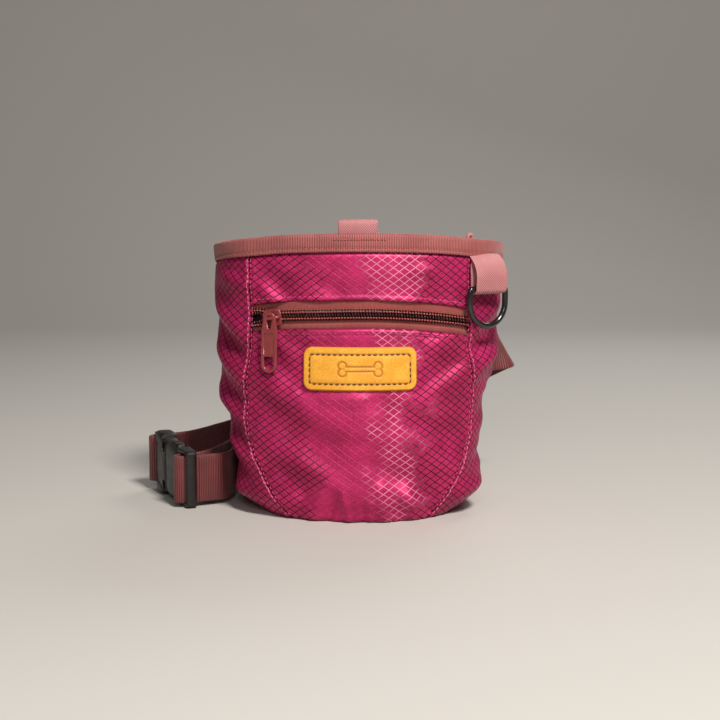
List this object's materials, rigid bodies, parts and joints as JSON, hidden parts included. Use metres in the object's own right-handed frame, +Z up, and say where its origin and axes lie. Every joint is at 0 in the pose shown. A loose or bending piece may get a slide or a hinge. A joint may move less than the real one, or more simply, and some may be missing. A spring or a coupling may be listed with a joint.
{
  "type": "treat pouch",
  "caption": "Soft round waist pouch with bound rim, zipped front pocket, leather patch, side D-ring and belt with side-release buckle.",
  "frame": {"origin": "centre of the pouch's base, on the surface it stands on", "axes": "+Z up, -Y out of the front that has the zipper, +X to the right seen from the front"},
  "size_m": [0.1983, 0.1742, 0.1505],
  "materials": {
    "fabric": "satin ripstop weave",
    "lining": "plain woven nylon",
    "webbing": "woven ribbed tape",
    "zipper_tape": "woven tape",
    "zipper_coil": "nylon coil",
    "enamel": "gloss enamel",
    "leather": "smooth full grain",
    "buckle": "moulded acetal",
    "d_ring": "gloss black",
    "stiffener": "flat polypropylene strip",
    "magnet": "plated magnet bar"
  },
  "bodies": {
    "pouch": {"front_lower_panel": "fabric", "front_upper_panel": "fabric", "back_panel": "fabric", "left_side_panel": "fabric", "right_side_panel": "fabric", "base_panel": "fabric", "lining": "lining", "pocket_backing": "lining", "rim_binding": "webbing", "rim_stiffener": "stiffener", "closure_magnet_front": "magnet", "closure_magnet_back": "magnet", "pull_tab": "webbing", "rim_cord_end": "webbing", "leather_patch": "leather", "zipper_tape_upper": "zipper_tape", "zipper_tape_lower": "zipper_tape", "zipper_coil_upper": "zipper_coil", "zipper_coil_lower": "zipper_coil", "d_ring_loop": "webbing", "belt_plug_side": "webbing", "belt_socket_side": "webbing", "belt_in_sleeve": "webbing", "belt_fold_socket": "webbing", "belt_tail": "webbing", "belt_sleeve": "fabric", "buckle_socket": "buckle"},
    "slider": {"zipper_slider": "enamel"},
    "puller": {"zipper_puller": "enamel"},
    "ring": {"d_ring": "d_ring"},
    "plug": {"buckle_plug": "buckle", "belt_fold_plug": "webbing"},
    "upper_arm": {"buckle_upper_arm": "buckle"},
    "lower_arm": {"buckle_lower_arm": "buckle"}
  },
  "joints": [
    {"name": "zipper_run", "type": "hinge", "parent": "pouch", "child": "slider", "pos_m": [0, 0.04958, 0.06943], "axis": [0, 0.328, 0.9447], "range_deg": [0, 48.63]},
    {"name": "puller_swing", "type": "hinge", "parent": "slider", "child": "puller", "pos_m": [-0.04472, -0.0443, 0.10084], "axis": [0.9113, -0.389, 0.1351], "range_deg": [-120, 0]},
    {"name": "d_ring_swing", "type": "hinge", "parent": "pouch", "child": "ring", "pos_m": [0.06551, -0.03259, 0.1157], "axis": [0.829, 0.5592, 0], "range_deg": [-110, 0]},
    {"name": "buckle_release", "type": "slide", "parent": "pouch", "child": "plug", "axis": [-0.4149, 0.9099, 0], "range_m": [0, 0.024], "deforming": ["belt_plug_side", "buckle_upper_arm", "buckle_lower_arm"]},
    {"name": "upper_arm_squeeze", "type": "hinge", "parent": "plug", "child": "upper_arm", "pos_m": [-0.10043, 0.01003, 0.027], "axis": [-0.9099, -0.4149, 0], "range_deg": [0, 9], "stiffness_Nm_per_rad": 0.5},
    {"name": "lower_arm_squeeze", "type": "hinge", "parent": "plug", "child": "lower_arm", "pos_m": [-0.10043, 0.01003, 0.007], "axis": [-0.9099, -0.4149, 0], "range_deg": [-9, 0], "stiffness_Nm_per_rad": 0.5}
  ]
}
